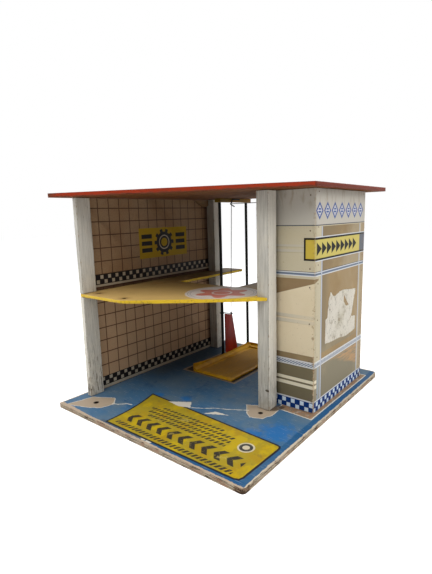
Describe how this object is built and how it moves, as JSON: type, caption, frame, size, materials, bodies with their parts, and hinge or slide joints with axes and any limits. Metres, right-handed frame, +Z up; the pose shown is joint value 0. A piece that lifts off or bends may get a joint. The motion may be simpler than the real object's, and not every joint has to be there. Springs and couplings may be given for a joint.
{
  "type": "toy garage",
  "caption": "Wooden toy garage with an open upper floor under a red roof, a corner shop tower and a car lift drawn up two rods by a crank and string.",
  "frame": {"origin": "centre of the whole object in plan, on the surface that the base board stands on", "axes": "+Z up, +Y from the open front towards the back, +X from the tiled left wall towards the tower"},
  "size_m": [0.306, 0.3619, 0.2815],
  "materials": {
    "printed_plywood": "satin printed top, bare plywood edge",
    "painted_wood": "worn off-white paint",
    "tiled_print": "satin printed hardboard",
    "tan_floor": "satin printed hardboard with yellow edge",
    "red_roof": "painted hardboard, bare underside",
    "shop_print": "satin printed hardboard",
    "raw_wood": "bare",
    "yellow_wood": "worn yellow paint on hardboard",
    "yellow_paint": "worn yellow paint on sheet steel",
    "red_paint": "gloss red paint",
    "red_knob": "gloss red paint on turned wood",
    "black_steel": "black, rubbed",
    "bright_steel": "plain",
    "grey_string": "twisted thread"
  },
  "bodies": {
    "garage": {"base_board": "printed_plywood", "base_screw_1": "bright_steel", "base_screw_2": "bright_steel", "base_screw_3": "bright_steel", "base_screw_4": "bright_steel", "base_screw_5": "bright_steel", "base_screw_6": "bright_steel", "front_post_lower": "painted_wood", "front_post_upper": "painted_wood", "centre_post": "painted_wood", "back_post": "painted_wood", "wall_panel": "tiled_print", "wall_corner_brace": "raw_wood", "first_floor": "tan_floor", "floor_cleat": "raw_wood", "roof_board": "red_roof", "roof_nail_1": "bright_steel", "roof_nail_2": "bright_steel", "roof_nail_3": "bright_steel", "roof_nail_4": "bright_steel", "roof_nail_5": "bright_steel", "roof_nail_6": "bright_steel", "roof_nail_7": "bright_steel", "roof_nail_8": "bright_steel", "tower_front_panel": "shop_print", "tower_side_panel": "shop_print", "tower_inner_panel": "raw_wood", "tower_back_panel": "raw_wood", "tower_batten_front_left": "raw_wood", "tower_batten_front_right": "raw_wood", "tower_batten_back_left": "raw_wood", "tower_batten_back_right": "raw_wood", "head_bar": "yellow_wood", "guide_rod_front": "black_steel", "guide_rod_back": "black_steel", "string_hook": "black_steel", "string_guide_pin": "bright_steel", "drum_bearing": "raw_wood", "string_run": "grey_string"},
    "lift": {"lift_deck": "yellow_wood", "lift_side_rim": "yellow_paint", "lift_side_fillet": "yellow_wood", "lift_end_rim": "yellow_paint", "lift_end_stop": "yellow_wood", "lift_plate": "red_paint", "lift_top_guide": "black_steel", "lift_low_guide_front": "black_steel", "lift_low_guide_back": "black_steel", "string_drop": "grey_string"},
    "crank": {"winding_drum": "raw_wood", "string_winding": "grey_string", "crank_shaft": "bright_steel", "crank_arm": "bright_steel", "crank_nut": "bright_steel", "crank_knob": "red_knob"}
  },
  "joints": [
    {"name": "lift_slide", "type": "slide", "parent": "garage", "child": "lift", "axis": [0, 0, 1], "range_m": [0, 0.141], "deforming": ["string_drop"]},
    {"name": "crank_turn", "type": "hinge", "parent": "garage", "child": "crank", "pos_m": [0.0895, 0.124, 0.2212], "axis": [0, 1, 0], "range_deg": [0, 1189]}
  ],
  "couplings": [
    {"joint": "crank_turn", "follows": "lift_slide", "rad_per_m": 147.06}
  ]
}
